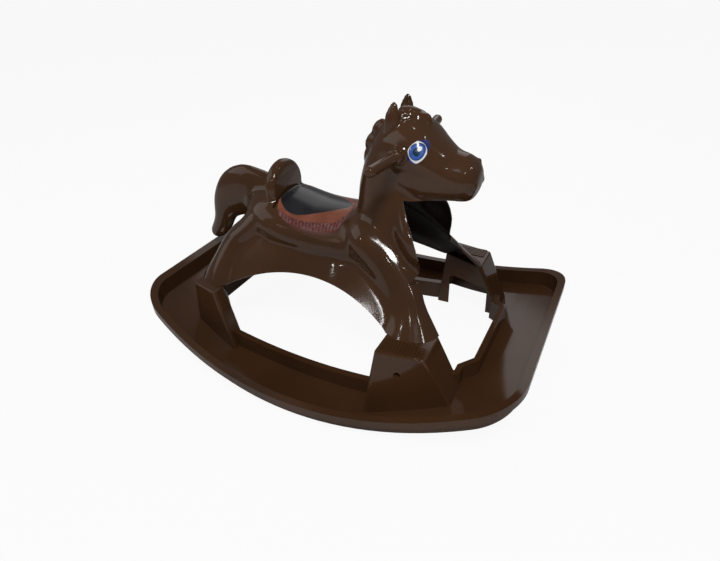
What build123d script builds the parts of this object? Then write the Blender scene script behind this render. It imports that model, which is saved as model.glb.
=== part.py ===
from build123d import *
import os

os.makedirs("parts", exist_ok=True)

# Frame: +X is where the horse looks, +Y is its left side, +Z is up. The origin is on the
# floor, under the middle of the rocker. All lengths are in millimetres.

# --- driving dimensions: rocker tray ---
TRAY_LENGTH = 760.0
TRAY_WIDTH = 561.0
TRAY_END_WIDTH = 423.0
CORNER_R = 85.0
ROCK_R = 920.0            # radius of the rocking edge under the tray
RIM_HEIGHT = 39.0         # rocking edge to the top of the rim
BASIN_DEPTH = 30.0        # top of the rim to the tray's floor
WALL = 3.0
RIM_WIDTH = 14.0          # flange outside the basin
HEM_DEPTH = 14.5          # outer hem that hangs from the flange
WELL_WALL = 12.0          # double wall round the middle opening

WELL_HALF_LENGTH = 275.0
WELL_HALF_WIDTH = 167.0
WELL_NECK = 103.0         # half width of the opening beyond the pedestals

# --- driving dimensions: pedestals ---
PEDESTAL_TOP_Z = 140.0
PEDESTAL_WALL = 3.0
ARCH_Z = 92.0             # top of the opening in a pedestal's inner wall
ARCHES = [(151.0, 238.0), (-262.0, -206.0)]     # where those openings start and end along X
ARCH_CORNER_R = 10.0
RIB_COUNT = 6
RIB_HEIGHT = 1.6
RIB_WIDTH = 2.6
RIB_LENGTH = 70.0
RIB_STEP = 5.2
RIB_X = 180.0
RIB_Y = 175.0

# --- driving dimensions: horse ---
SHELL = 3.5
BELLY_Z = 228.0           # height where the barrel meets the flared skirt
FLARE_Z = 120.0           # the flare is drawn down to here and then trimmed
CANTLE_HALF_WIDTH = 50.0
CANTLE_TOP_Z = 357.0
CANTLE_FRONT_X = -138.0
CANTLE_THICKNESS = 24.0
CANTLE_SKIRT = 40.0       # straight part of its sides, from the round top down into the back
CANTLE_EDGE_R = 9.0
HOLLOW_ROWS = 7           # stations of the tail that are hollow, from its root
EAR_ROOT = (93, 29, 445)
EAR_R = 12.0
EAR_TIP_R = 2.5
EAR_HEIGHT = 44.0
MANE = [
    (62, 0, 449), (48, 0, 431), (40, 0, 413), (34, 0, 395), (105, 0, 467), (124, 0, 466), (140, 0, 459)
]
MANE_R = 9.0
LEG_GAP_X = 100.0         # the leg gaps are cut from here forwards, and from its mirror backwards
FRONT_GAP = [(118, 100), (118, 140), (81, 217), (81, 235)]      # y, z
REAR_GAP = [(104, 100), (104, 140), (72, 195)]
REAR_GAP_R = 24.0

# --- driving dimensions: feet, grips, screws and decals ---
FRONT_TONGUE = (164.0, 194.0, 144.0, 152.0)     # x from, x to, y from, y to
REAR_TONGUE = (-256.0, -242.0, 131.0, 138.0)
TONGUES = [FRONT_TONGUE, REAR_TONGUE]
TONGUE_Z = 86.0           # bottom of the tongues
TONGUE_TOP_Z = 156.0      # height up to which they are joined to the legs' walls
SCREW_X = 179.0
SCREW_Z = 102.0
SCREW_R = 2.0
SCREW_LENGTH = 10.0
SCREW_HEAD_R = 4.2
SCREW_HEAD = 2.6
SCREW_HEAD_ROUND = 1.2
CROSS_LENGTH = 4.6
CROSS_WIDTH = 1.0
CROSS_DEPTH = 1.5
RECESS_R = 5.5
RECESS_WALL = 2.5
GRIP_ROOT = Vector(118, 53, 417)
GRIP_TIP = Vector(109, 142, 419)
GRIP_R = 9.5
COLLAR_R = 13.5
FLANGE_R = 16.5
FLANGE = 3.5
FLANGE_GAP = 0.05
GRIP_LENGTH = 93.0
GRIP_TIP_R = 8.6
GRIP_TIP_ROUND = 7.0
GRIP_BORE = 20.0
SPIGOT_R = 7.0
SPIGOT_LENGTH = 8.8
BOSS_DEPTH = 9.0
BOSS_R = 17.5
SEAT_DEPTH = 8.0          # the flat seat is cleared this far out from the head's side
WASHER_R = 11.0
WASHER = 1.2
CLEARANCE = 0.2
DECAL = 0.4               # thickness of the printed film
DECAL_GAP = 0.1           # its adhesive, between film and shell
EYE_X = 148.0
EYE_Z = 427.0
EYE_WIDTH = 25.0
EYE_HEIGHT = 33.0
SADDLE_Z = 250.0
SADDLE_HALF = [(-134, 46), (-120, 66), (-80, 79), (-20, 82), (20, 80), (44, 64)]   # x, y

FAR = 400.0               # longer than anything that it cuts

rim_r = ROCK_R - RIM_HEIGHT
floor_r = rim_r + BASIN_DEPTH
recess_end_y = FRONT_TONGUE[3] + CLEARANCE
recess_start_y = recess_end_y + RECESS_WALL


# ---------------------------------------------------------------- plan of the tray
with BuildSketch() as rim_plan:
    half_length = TRAY_LENGTH / 2
    half_width = TRAY_WIDTH / 2
    half_end = TRAY_END_WIDTH / 2
    with BuildLine():
        ThreePointArc((-half_length, half_end), (0, half_width), (half_length, half_end))
        Line((half_length, half_end), (half_length, -half_end))
        ThreePointArc((half_length, -half_end), (0, -half_width), (-half_length, -half_end))
        Line((-half_length, -half_end), (-half_length, half_end))
    make_face()
    fillet(rim_plan.vertices(), CORNER_R)

# The middle opening. The pedestals stand in its four cut corners.
left_side = [
    (WELL_HALF_LENGTH, 83.0),
    (252.0, WELL_NECK),
    (252.0, 119.0),
    (139.0, WELL_HALF_WIDTH),
    (-212.0, WELL_HALF_WIDTH),
    (-262.0, 119.0),
    (-262.0, WELL_NECK),
    (-WELL_HALF_LENGTH - 10, 83.0),
]
right_side = [(x, -y) for x, y in reversed(left_side)]

with BuildSketch() as well_plan:
    with BuildLine():
        Polyline(*left_side, *right_side, close=True)
    make_face()


def grown(plan, amount):
    """A plan outline, grown outwards by an amount or shrunk by a negative one."""
    with BuildSketch() as outline:
        add(plan)
        if amount:
            offset(amount=amount, kind=Kind.INTERSECTION)
    return outline.sketch


def curved(plan, inner_r, outer_r):
    """A plan outline as a solid between two cylinders about the rocking axis."""
    with BuildPart() as slab:
        with BuildSketch():
            add(plan)
        extrude(amount=FAR / 2)
        with BuildSketch(Plane.XZ.offset(-FAR)):
            with Locations((0, ROCK_R)):
                Circle(outer_r)
                Circle(inner_r, mode=Mode.SUBTRACT)
        extrude(amount=2 * FAR, mode=Mode.INTERSECT)
    return slab.part


with BuildSketch() as hem_gap:
    add(grown(rim_plan.sketch, -WALL))
    add(grown(rim_plan.sketch, WALL - RIM_WIDTH), mode=Mode.SUBTRACT)

with BuildSketch() as basin:
    add(grown(rim_plan.sketch, -RIM_WIDTH))
    add(grown(well_plan.sketch, WELL_WALL), mode=Mode.SUBTRACT)

with BuildSketch() as well_gap:
    add(grown(well_plan.sketch, WELL_WALL - WALL))
    add(grown(well_plan.sketch, WALL), mode=Mode.SUBTRACT)

# ---------------------------------------------------------------- pedestals
# Each outline has its corners in the same order: middle of the tray first, outer side next.
FOOT_PLAN_Z = 45.0
FRONT_TOP = [(139, 148), (139, 203), (222, 190), (222, 118)]
FRONT_FOOT = [(128, 148), (128, 222), (268, 176), (268, 118)]
REAR_TOP = [(-213, 153), (-213, 178), (-276, 163), (-276, 104), (-236, 126)]
REAR_FOOT = [(-180, 160), (-180, 192), (-283, 166), (-283, 104), (-222, 125)]


def pedestal(top, foot, inset):
    """A tapered block from above the tray down through its floor, or the hollow in it."""
    with BuildPart() as block:
        for z in (0.0, PEDESTAL_TOP_Z - inset):
            share = (PEDESTAL_TOP_Z - z) / (PEDESTAL_TOP_Z - FOOT_PLAN_Z)
            corners = [
                (a[0] + share * (b[0] - a[0]), a[1] + share * (b[1] - a[1]))
                for a, b in zip(top, foot)
            ]
            with BuildSketch(Plane.XY.offset(z)) as outline:
                with BuildLine():
                    Polyline(*corners, close=True)
                make_face()
                if inset:
                    offset(amount=-inset, kind=Kind.INTERSECTION)
                fillet(outline.vertices(), 6)
        loft()
        if not inset:
            fillet(block.faces().sort_by(Axis.Z)[-1].edges(), 3)
            with BuildSketch(Plane.XZ.offset(-FAR)):
                with Locations((0, ROCK_R)):
                    Circle(floor_r + WALL)
            extrude(amount=2 * FAR, mode=Mode.INTERSECT)
    return block.part


PEDESTALS = [(FRONT_TOP, FRONT_FOOT), (REAR_TOP, REAR_FOOT)]

with BuildPart() as recess_boss:
    with Locations((SCREW_X, recess_end_y + FAR / 2, SCREW_Z)):
        Cylinder(RECESS_R + RECESS_WALL, FAR, rotation=(90, 0, 0))
    add(pedestal(FRONT_TOP, FRONT_FOOT, 0), mode=Mode.INTERSECT)

# ---------------------------------------------------------------- rocker tray
with BuildPart() as rocker_tray:
    add(curved(rim_plan.sketch, rim_r, rim_r + HEM_DEPTH))
    add(curved(hem_gap.sketch, rim_r + WALL, ROCK_R), mode=Mode.SUBTRACT)
    add(curved(grown(rim_plan.sketch, WALL - RIM_WIDTH), rim_r, floor_r + WALL))
    add(curved(basin.sketch, ROCK_R / 2, floor_r), mode=Mode.SUBTRACT)
    add(curved(grown(well_plan.sketch, WELL_WALL), rim_r, ROCK_R))
    add(curved(well_gap.sketch, rim_r + WALL, ROCK_R + WALL), mode=Mode.SUBTRACT)
    add(curved(well_plan.sketch, ROCK_R / 2, ROCK_R + WALL), mode=Mode.SUBTRACT)
    for top, foot in PEDESTALS:
        block = pedestal(top, foot, 0)
        add(block)
        add(mirror(block, about=Plane.XZ))
    for top, foot in PEDESTALS:
        hollow = pedestal(top, foot, PEDESTAL_WALL)
        add(hollow, mode=Mode.SUBTRACT)
        add(mirror(hollow, about=Plane.XZ), mode=Mode.SUBTRACT)

    # Openings from the pedestals' hollows to the middle of the tray, down to the floor.
    with BuildSketch(Plane.XZ.offset(-recess_end_y)):
        for start, end in ARCHES:
            with Locations(((start + end) / 2, ARCH_Z - FAR / 2)):
                RectangleRounded(end - start, FAR, ARCH_CORNER_R)
    extrude(amount=2 * recess_end_y, mode=Mode.SUBTRACT)

    # A boss in each front pedestal carries the recess of the foot screw.
    add(recess_boss.part)
    add(mirror(recess_boss.part, about=Plane.XZ))
    with Locations((SCREW_X, 0, SCREW_Z)):
        Cylinder(SCREW_R + CLEARANCE, 2 * FAR, rotation=(90, 0, 0), mode=Mode.SUBTRACT)
    for side_y in (-1, 1):
        with Locations((SCREW_X, side_y * (recess_start_y + FAR / 2), SCREW_Z)):
            Cylinder(RECESS_R, FAR, rotation=(90, 0, 0), mode=Mode.SUBTRACT)

    # Slots that the horse's feet plug into.
    for x_from, x_to, y_from, y_to in TONGUES:
        for side_y in (-1, 1):
            with Locations(((x_from + x_to) / 2, side_y * (y_from + y_to) / 2, PEDESTAL_TOP_Z)):
                Box(
                    x_to - x_from + 2 * CLEARANCE,
                    y_to - y_from + 2 * CLEARANCE,
                    4 * PEDESTAL_WALL,
                    mode=Mode.SUBTRACT,
                )

    # Grip ribs on the steps in front of the rider's feet.
    with BuildSketch(Plane.XY.offset(PEDESTAL_TOP_Z - PEDESTAL_WALL / 2)):
        for side_y in (-1, 1):
            with Locations((RIB_X, side_y * RIB_Y)):
                with GridLocations(0, RIB_STEP, 1, RIB_COUNT):
                    SlotOverall(RIB_LENGTH, RIB_WIDTH)
    extrude(amount=RIB_HEIGHT + PEDESTAL_WALL / 2)
rocker_tray.part.label = "rocker_tray"
export_step(rocker_tray.part, "parts/rocker_tray.step")

# ---------------------------------------------------------------- horse, as lofted forms
# Every form takes a depth under the horse's skin: 0 is the outside, SHELL is the inside.
# Body sections: x, half width at the belly, top, half width where the feet stand.
BODY = [
    (-300, 42, 262, 95),
    (-276, 52, 276, 127),
    (-250, 64, 288, 146),
    (-212, 76, 298, 156),
    (-160, 86, 300, 156),
    (-80, 88, 288, 148),
    (0, 88, 286, 148),
    (80, 90, 290, 152),
    (139, 92, 290, 158),
    (178, 88, 285, 157),
    (205, 84, 280, 150),
    (224, 78, 275, 126),
    (236, 70, 270, 104),
]
# Neck sections: height, back, front, half width in the middle, half width at the front.
NECK = [
    (200, 0, 165, 80, 84),
    (250, 14, 163, 76, 89),
    (287, 15, 152, 66, 84),
    (315, 18, 138, 56, 66),
    (345, 23, 125, 48, 52),
    (385, 31, 120, 44, 46),
    (420, 43, 115, 42, 44),
]
# Head sections: x, jaw line, top, half width.
HEAD = [
    (38, 392, 430, 20),
    (60, 370, 456, 36),
    (100, 345, 470, 49),
    (145, 343, 461, 60),
    (176, 343, 431, 52),
    (202, 346, 416, 42),
    (222, 350, 409, 36),
    (236, 360, 398, 26),
]


def inner_x(rows, index, depth):
    """The first and last sections move inwards by the depth, the others stay."""
    x = rows[index][0]
    if index == 0:
        return x + depth
    if index == len(rows) - 1:
        return x - depth
    return x


def body_form(depth):
    """The barrel with its flared skirt, to be trimmed by the side outline."""
    with BuildPart() as form:
        for index, (_, half, top, stance) in enumerate(BODY):
            half_width = half - depth
            crown = top - depth
            slope = (stance - half) / (BELLY_Z - PEDESTAL_TOP_Z)
            hem = half + slope * (BELLY_Z - FLARE_Z) - 1.25 * depth
            with BuildSketch(Plane.YZ.offset(inner_x(BODY, index, depth))):
                with BuildLine():
                    Spline(
                        (-half_width, BELLY_Z),
                        (-0.97 * half_width, BELLY_Z + 18),
                        (-0.80 * half_width, crown - 24),
                        (-0.50 * half_width, crown - 8),
                        (0, crown),
                        (0.50 * half_width, crown - 8),
                        (0.80 * half_width, crown - 24),
                        (0.97 * half_width, BELLY_Z + 18),
                        (half_width, BELLY_Z),
                    )
                    Polyline(
                        (half_width, BELLY_Z), (hem, FLARE_Z), (-hem, FLARE_Z), (-half_width, BELLY_Z)
                    )
                make_face()
        loft(ruled=True)
    return form.part


def neck_form(depth):
    """The neck, as horizontal sections that are open towards the throat once trimmed."""
    with BuildPart() as form:
        for z, back, front, middle_half, front_half in NECK:
            x_back = back + depth
            x_middle = (x_back + front) / 2
            x_quarter = x_back + 0.22 * (x_middle - x_back)
            middle = middle_half - depth
            lip = front_half - depth
            with BuildSketch(Plane.XY.offset(z)):
                with BuildLine():
                    Spline(
                        (front + 25, lip),
                        (front - 15, 0.99 * lip),
                        (x_middle, middle),
                        (x_quarter, 0.62 * middle),
                        (x_back, 0),
                        (x_quarter, -0.62 * middle),
                        (x_middle, -middle),
                        (front - 15, -0.99 * lip),
                        (front + 25, -lip),
                    )
                    Line((front + 25, -lip), (front + 25, lip))
                make_face()
        loft()
    return form.part


def head_form(depth):
    """The head, as upright sections that run on below the jaw line until trimmed."""
    with BuildPart() as form:
        for index, (_, jaw, top, half) in enumerate(HEAD):
            crown = top - depth
            cheek = half - depth
            cheek_z = jaw + 0.55 * (crown - jaw)
            rise = crown - cheek_z
            drop = cheek_z - jaw
            with BuildSketch(Plane.YZ.offset(inner_x(HEAD, index, depth))):
                with BuildLine():
                    Spline(
                        (0, crown),
                        (0.62 * cheek, cheek_z + 0.82 * rise),
                        (cheek, cheek_z),
                        (0.86 * cheek, jaw + 0.2 * drop),
                        (0.86 * cheek, jaw - 30),
                        (-0.86 * cheek, jaw - 30),
                        (-0.86 * cheek, jaw + 0.2 * drop),
                        (-cheek, cheek_z),
                        (-0.62 * cheek, cheek_z + 0.82 * rise),
                        periodic=True,
                    )
                make_face()
        loft()
    return form.part


# Tail stations from root to curl: outer edge x, z, inner edge x, z.
TAIL = [
    (-150, 312, -176, 262),
    (-205, 328, -214, 236),
    (-252, 332, -246, 222),
    (-300, 308, -268, 218),
    (-332, 258, -287, 213),
    (-340, 210, -300, 201),
    (-353, 184, -316, 178),
    (-366, 162, -334, 158),
    (-360, 147, -347, 146),
]
# Its round cross-section: distance from the middle plane, share of the full breadth there.
TAIL_LAYERS = [(-22, 0.5), (-16, 0.85), (-8, 1.0), (8, 1.0), (16, 0.85), (22, 0.5)]
# Its outline from above: x, half width.
TAIL_PLAN = [(-140, 24), (-252, 22), (-332, 20), (-353, 16), (-370, 10)]


def tail_form(depth, rows):
    """The first so many stations of the tail, at a depth under its skin."""
    with BuildPart() as form:
        for layer_y, share in TAIL_LAYERS:
            outer_edge = []
            inner_edge = []
            for outer_x, outer_z, inner_x, inner_z in TAIL[:rows]:
                outer = Vector(outer_x, outer_z)
                inner = Vector(inner_x, inner_z)
                middle = (outer + inner) * 0.5
                reach = (outer - inner).normalized() * (share * (outer - inner).length / 2 - depth)
                outer_edge.append(middle + reach)
                inner_edge.append(middle - reach)
            with BuildSketch(Plane.XZ.offset(-layer_y * (1 - depth / TAIL_LAYERS[-1][0]))):
                with BuildLine():
                    Spline(*outer_edge)
                    Line(outer_edge[-1], inner_edge[-1])
                    Spline(*inner_edge[::-1])
                    Line(inner_edge[0], outer_edge[0])
                make_face()
        loft(ruled=True)
        with BuildSketch():
            with BuildLine():
                half = [(x, y - depth) for x, y in TAIL_PLAN]
                Polyline(*half, *[(x, -y) for x, y in half[::-1]], close=True)
            make_face()
        extrude(amount=FAR, mode=Mode.INTERSECT)
    return form.part


# Side outline: foot, front of the leg, chest, throat, jaw, nose, above the back, rump,
# back of the hind leg, foot and arch.
with BuildSketch() as side:
    with BuildLine():
        Spline((222, 140), (200, 163), (175, 193), (158, 216))
        Line((158, 216), (165, 226))
        Spline((165, 226), (163, 253), (152, 287), (135, 314), (123, 340))
        Spline((123, 340), (150, 341), (176, 343), (204, 347), (222, 348))
        Spline((222, 348), (233, 358), (236, 378), (230, 399), (216, 409), (200, 430))
        Polyline((200, 430), (160, 500), (20, 500), (-100, 320), (-165, 296))
        Spline((-165, 296), (-196, 272), (-214, 246), (-250, 207), (-275, 170), (-286, 140))
        Line((-286, 140), (-212, 140))
        ThreePointArc((-212, 140), (-32, 186), (137, 140))
        Line((137, 140), (222, 140))
    make_face()

# The hollow's outline keeps a wall at the front and back of the legs, over the rump and at
# the nose. It runs out past the throat, the jaw and the arch, where the shell is open.
with BuildSketch() as hollow_side:
    with BuildLine():
        Polyline(
            (217, 100),
            (217, 139),
            (195, 162),
            (170, 191),
            (152, 214),
            (260, 214),
            (260, 300),
            (217, 300),
            (217, 357),
            (227, 366),
            (231.5, 380),
            (226, 396),
            (213, 405),
            (196, 430),
            (156, 496),
            (-96, 496),
            (-110, 312),
            (-166, 291),
            (-192, 268),
            (-210, 244),
            (-246, 205),
            (-270, 170),
            (-281, 140),
            (-281, 100),
            close=True,
        )
    make_face()


def trimmed(depth, outline):
    """The body, neck and head at a depth under the skin, cut to an outline seen from the side."""
    with BuildPart() as trunk:
        add(body_form(depth))
        add(neck_form(depth))
        add(head_form(depth))
        with BuildSketch(Plane.XZ.offset(-FAR)):
            add(outline)
        extrude(amount=2 * FAR, mode=Mode.INTERSECT)
    return trunk.part


outside = trimmed(0, side.sketch)
inside = trimmed(SHELL, hollow_side.sketch)

with BuildPart() as cantle:
    with BuildSketch(Plane.YZ.offset(CANTLE_FRONT_X - CANTLE_THICKNESS)):
        with Locations((0, CANTLE_TOP_Z - CANTLE_HALF_WIDTH)):
            Circle(CANTLE_HALF_WIDTH)
        with Locations((0, CANTLE_TOP_Z - CANTLE_HALF_WIDTH - CANTLE_SKIRT / 2)):
            Rectangle(2 * CANTLE_HALF_WIDTH, CANTLE_SKIRT)
    extrude(amount=CANTLE_THICKNESS)
    fillet(cantle.edges().filter_by(GeomType.CIRCLE), CANTLE_EDGE_R)

with BuildPart() as cantle_hollow:
    with BuildSketch(Plane.YZ.offset(CANTLE_FRONT_X - CANTLE_THICKNESS + SHELL)):
        with Locations((0, CANTLE_TOP_Z - CANTLE_HALF_WIDTH)):
            Circle(CANTLE_HALF_WIDTH - SHELL)
        with Locations((0, CANTLE_TOP_Z - CANTLE_HALF_WIDTH - CANTLE_SKIRT / 2)):
            Rectangle(2 * (CANTLE_HALF_WIDTH - SHELL), CANTLE_SKIRT)
    extrude(amount=CANTLE_THICKNESS - 2 * SHELL)
    fillet(cantle_hollow.edges().filter_by(GeomType.CIRCLE), CANTLE_EDGE_R - SHELL)

with BuildPart() as ears:
    with Locations(EAR_ROOT):
        Cone(EAR_R, EAR_TIP_R, EAR_HEIGHT, align=(Align.CENTER, Align.CENTER, Align.MIN))
    mirror(about=Plane.XZ)

with BuildPart() as tongues:
    for x_from, x_to, y_from, y_to in TONGUES:
        with Locations(((x_from + x_to) / 2, (y_from + y_to) / 2, PEDESTAL_TOP_Z)):
            Box(x_to - x_from, y_to - y_from, 2 * (TONGUE_TOP_Z - PEDESTAL_TOP_Z))
    mirror(about=Plane.XZ)
    add(outside, mode=Mode.INTERSECT)
    for x_from, x_to, y_from, y_to in TONGUES:
        for side_y in (-1, 1):
            with Locations(((x_from + x_to) / 2, side_y * (y_from + y_to) / 2, TONGUE_Z)):
                Box(
                    x_to - x_from,
                    y_to - y_from,
                    PEDESTAL_TOP_Z - TONGUE_Z,
                    align=(Align.CENTER, Align.CENTER, Align.MIN),
                )
    with Locations((SCREW_X, 0, SCREW_Z)):
        Cylinder(SCREW_R + CLEARANCE, FAR, rotation=(90, 0, 0), mode=Mode.SUBTRACT)

# Planes on the sides of the head where the grips are fitted, facing along the grips.
grip_axis = GRIP_TIP - GRIP_ROOT
grip_planes = [
    Plane(
        origin=(GRIP_ROOT.X, side_y * GRIP_ROOT.Y, GRIP_ROOT.Z),
        x_dir=(0, 0, 1),
        z_dir=(grip_axis.X, side_y * grip_axis.Y, grip_axis.Z),
    )
    for side_y in (1, -1)
]

# ---------------------------------------------------------------- horse shell
with BuildPart() as horse_shell:
    add(outside)
    add(cantle.part)
    add(tail_form(0, len(TAIL)))
    with Locations(MANE):
        Sphere(MANE_R)
    add(ears.part)
    add(inside, mode=Mode.SUBTRACT)
    add(cantle_hollow.part, mode=Mode.SUBTRACT)
    add(tail_form(SHELL, HOLLOW_ROWS), mode=Mode.SUBTRACT)

    # Openings between the front legs, under the chest, and between the hind legs.
    with BuildSketch(Plane.YZ.offset(LEG_GAP_X)):
        with BuildLine():
            Polyline(*FRONT_GAP, *[(-y, z) for y, z in reversed(FRONT_GAP)], close=True)
        make_face()
    extrude(amount=FAR, mode=Mode.SUBTRACT)
    with BuildSketch(Plane.YZ.offset(-LEG_GAP_X)) as rear_gap:
        with BuildLine():
            Polyline(*REAR_GAP, *[(-y, z) for y, z in reversed(REAR_GAP)], close=True)
        make_face()
        fillet(rear_gap.vertices().group_by(Axis.Z)[-1], REAR_GAP_R)
    extrude(amount=-FAR, mode=Mode.SUBTRACT)
    add(tongues.part)

    # Bosses and flat seats for the grips.
    with Locations(*grip_planes):
        Cylinder(BOSS_R, BOSS_DEPTH, align=(Align.CENTER, Align.CENTER, Align.MAX))
        Cylinder(
            BOSS_R,
            SEAT_DEPTH,
            align=(Align.CENTER, Align.CENTER, Align.MIN),
            mode=Mode.SUBTRACT,
        )
        Cylinder(SPIGOT_R + CLEARANCE, 4 * BOSS_DEPTH, mode=Mode.SUBTRACT)
horse_shell.part.label = "horse_shell"
export_step(horse_shell.part, "parts/horse_shell.step")

# ---------------------------------------------------------------- grips and their fixings
with BuildPart() as grip:
    with BuildSketch(Plane.XZ):
        with BuildLine():
            Polyline(
                (0, -SPIGOT_LENGTH),
                (SPIGOT_R, -SPIGOT_LENGTH),
                (SPIGOT_R, FLANGE_GAP),
                (FLANGE_R, FLANGE_GAP),
                (FLANGE_R, FLANGE / 2),
                (FLANGE_R - FLANGE / 2, FLANGE),
                (COLLAR_R - 1.5, FLANGE + 1),
            )
            Spline(
                (COLLAR_R - 1.5, FLANGE + 1),
                (COLLAR_R - 2.0, 8),
                (COLLAR_R, 15),
                (COLLAR_R - 1.5, 21),
                (GRIP_R, 26),
                tangents=((0, 1), (0, 1)),
            )
            Polyline((GRIP_R, 26), (GRIP_TIP_R, GRIP_LENGTH), (0, GRIP_LENGTH))
            Line((0, GRIP_LENGTH), (0, -SPIGOT_LENGTH))
        make_face()
    revolve(axis=Axis.Z)
    fillet(grip.edges().filter_by(GeomType.CIRCLE).sort_by(Axis.Z)[-1], GRIP_TIP_ROUND)
    with Locations((0, 0, -SPIGOT_LENGTH)):
        Cylinder(
            SCREW_R + CLEARANCE,
            GRIP_BORE,
            align=(Align.CENTER, Align.CENTER, Align.MIN),
            mode=Mode.SUBTRACT,
        )

with BuildPart() as screw:
    Cylinder(SCREW_R, SCREW_LENGTH, align=(Align.CENTER, Align.CENTER, Align.MIN))
    Cylinder(SCREW_HEAD_R, SCREW_HEAD, align=(Align.CENTER, Align.CENTER, Align.MAX))
    fillet(screw.edges().sort_by(Axis.Z)[0], SCREW_HEAD_ROUND)
    with BuildSketch(Plane.XY.offset(-SCREW_HEAD)):
        Rectangle(CROSS_LENGTH, CROSS_WIDTH)
        Rectangle(CROSS_WIDTH, CROSS_LENGTH)
    extrude(amount=CROSS_DEPTH, mode=Mode.SUBTRACT)

with BuildPart() as handle_left:
    with Locations(grip_planes[0]):
        add(grip.part)
handle_left.part.label = "handle_left"
export_step(handle_left.part, "parts/handle_left.step")

with BuildPart() as handle_right:
    with Locations(grip_planes[1]):
        add(grip.part)
handle_right.part.label = "handle_right"
export_step(handle_right.part, "parts/handle_right.step")

with BuildPart() as grip_washers:
    with Locations(*[plane.offset(-BOSS_DEPTH) for plane in grip_planes]):
        Cylinder(WASHER_R, WASHER, align=(Align.CENTER, Align.CENTER, Align.MAX))
        Cylinder(SCREW_R + CLEARANCE, 4 * WASHER, mode=Mode.SUBTRACT)
grip_washers.part.label = "grip_washers"
export_step(grip_washers.part, "parts/grip_washers.step")

with BuildPart() as grip_screws:
    with Locations(*[plane.offset(-BOSS_DEPTH - WASHER) for plane in grip_planes]):
        add(screw.part)
grip_screws.part.label = "grip_screws"
export_step(grip_screws.part, "parts/grip_screws.step")

with BuildPart() as foot_screws:
    with Locations(
        Plane(origin=(SCREW_X, recess_start_y, SCREW_Z), x_dir=(1, 0, 0), z_dir=(0, -1, 0)),
        Plane(origin=(SCREW_X, -recess_start_y, SCREW_Z), x_dir=(1, 0, 0), z_dir=(0, 1, 0)),
    ):
        add(screw.part)
foot_screws.part.label = "foot_screws"
export_step(foot_screws.part, "parts/foot_screws.step")

# ---------------------------------------------------------------- decals
def eye_film(side_y):
    """The oval film of the eye on one side of the head."""
    with BuildPart() as film:
        add(head_form(-DECAL_GAP - DECAL))
        with BuildSketch(Plane.XZ):
            with Locations((EYE_X, EYE_Z)):
                Ellipse(EYE_WIDTH / 2, EYE_HEIGHT / 2)
        extrude(amount=-side_y * FAR, mode=Mode.INTERSECT)
        add(head_form(-DECAL_GAP), mode=Mode.SUBTRACT)
    return film.part


with BuildPart() as eye_decal_left:
    add(eye_film(1))
eye_decal_left.part.label = "eye_decal_left"
export_step(eye_decal_left.part, "parts/eye_decal_left.step")

with BuildPart() as eye_decal_right:
    add(eye_film(-1))
eye_decal_right.part.label = "eye_decal_right"
export_step(eye_decal_right.part, "parts/eye_decal_right.step")

with BuildPart() as saddle_decal:
    add(body_form(-DECAL_GAP - DECAL))
    with BuildSketch(Plane.XY.offset(SADDLE_Z)):
        with BuildLine():
            Spline(*SADDLE_HALF)
            Spline(*[(x, -y) for x, y in SADDLE_HALF])
            Line(SADDLE_HALF[0], (SADDLE_HALF[0][0], -SADDLE_HALF[0][1]))
            Line(SADDLE_HALF[-1], (SADDLE_HALF[-1][0], -SADDLE_HALF[-1][1]))
        make_face()
    extrude(amount=FAR, mode=Mode.INTERSECT)
    add(body_form(-DECAL_GAP), mode=Mode.SUBTRACT)
    add(neck_form(-DECAL_GAP), mode=Mode.SUBTRACT)
saddle_decal.part.label = "saddle_decal"
export_step(saddle_decal.part, "parts/saddle_decal.step")
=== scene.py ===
from math import cos, radians, sin

import bpy
from bpy.props import FloatProperty, FloatVectorProperty, IntProperty, PointerProperty
from bpy.types import Operator, Panel, PropertyGroup
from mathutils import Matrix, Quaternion, Vector


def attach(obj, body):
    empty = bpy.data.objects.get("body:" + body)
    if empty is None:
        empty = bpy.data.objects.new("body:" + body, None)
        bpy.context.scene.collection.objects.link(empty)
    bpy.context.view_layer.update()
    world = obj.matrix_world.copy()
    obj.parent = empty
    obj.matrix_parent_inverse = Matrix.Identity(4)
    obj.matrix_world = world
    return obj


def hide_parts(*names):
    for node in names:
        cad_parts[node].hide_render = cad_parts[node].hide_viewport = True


bl_info = {
    "name": "Moulded rocking horse",
    "version": (1, 0, 0),
    "blender": (4, 5, 0),
    "location": "3D View > Sidebar > Rocking Horse",
    "description": "Builds a glossy moulded child's rocking horse on its rocker tray",
    "category": "Object",
}

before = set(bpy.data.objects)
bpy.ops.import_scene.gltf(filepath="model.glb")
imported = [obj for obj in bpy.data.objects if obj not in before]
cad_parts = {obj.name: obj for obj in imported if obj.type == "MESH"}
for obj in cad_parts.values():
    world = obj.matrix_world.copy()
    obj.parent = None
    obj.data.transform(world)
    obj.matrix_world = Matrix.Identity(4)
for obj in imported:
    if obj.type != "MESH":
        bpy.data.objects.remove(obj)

# The forms are drawn in millimetres: +X is where the horse looks, +Y its left side, +Z up.
MM = 0.001


# ---------------------------------------------------------------- settings
class HorseSettings(PropertyGroup):
    wall: FloatProperty(
        name="Wall", description="Thickness of the moulded shell", default=0.0035, unit="LENGTH"
    )
    melt: FloatProperty(
        name="Melt", description="Cell size that melts the big forms together",
        default=0.005, min=0.003, unit="LENGTH",
    )
    grain: FloatProperty(
        name="Grain", description="Cell size of the finished skin",
        default=0.0034, min=0.0025, unit="LENGTH",
    )
    softness: IntProperty(
        name="Softness", description="Passes that soften the joins between the big forms", default=9
    )
    plastic: FloatVectorProperty(
        name="Plastic", description="Colour of the moulded plastic",
        subtype="COLOR", size=4, default=(0.064, 0.028, 0.012, 1.0), min=0.0, max=1.0,
    )


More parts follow.
